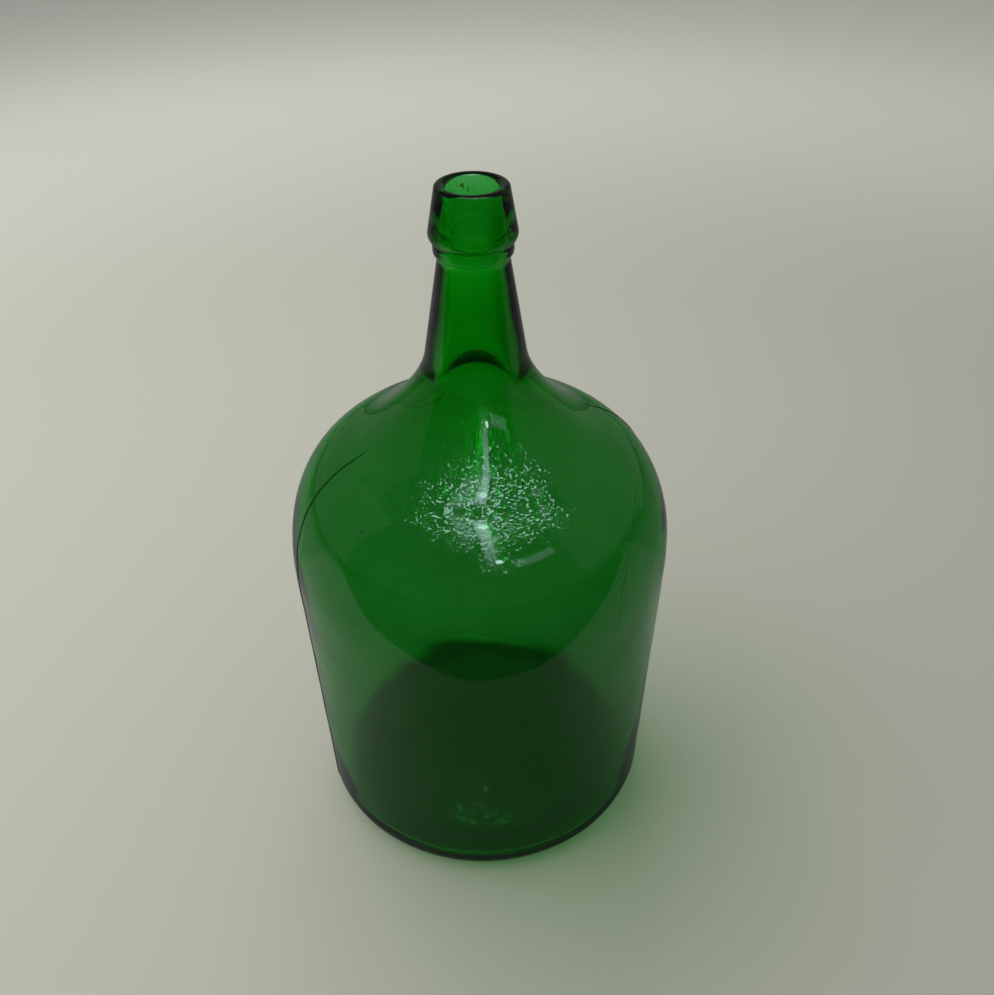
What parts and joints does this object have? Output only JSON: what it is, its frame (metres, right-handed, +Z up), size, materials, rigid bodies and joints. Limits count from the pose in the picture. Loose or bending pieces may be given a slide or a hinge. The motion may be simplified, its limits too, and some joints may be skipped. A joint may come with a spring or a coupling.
{
  "type": "demijohn",
  "caption": "Green glass demijohn for wine or oil: a round-shouldered body on a pushed-up base, a slender tapering neck, a string ring and a thick mouth collar.",
  "frame": {"origin": "on the floor, at the centre of the foot ring, on the bottle's axis", "axes": "+Z up along the bottle's axis, towards the mouth; the two mould seams stand at 20 and 200 degrees from +X"},
  "size_m": [0.189, 0.189, 0.345],
  "materials": {
    "green_glass": "clear bottle-green glass, fire-polished, with faint mould ripples and two mould seams"
  },
  "bodies": {
    "root": {"bottle_body": "green_glass", "string_ring": "green_glass", "mouth_collar": "green_glass"}
  },
  "joints": []
}
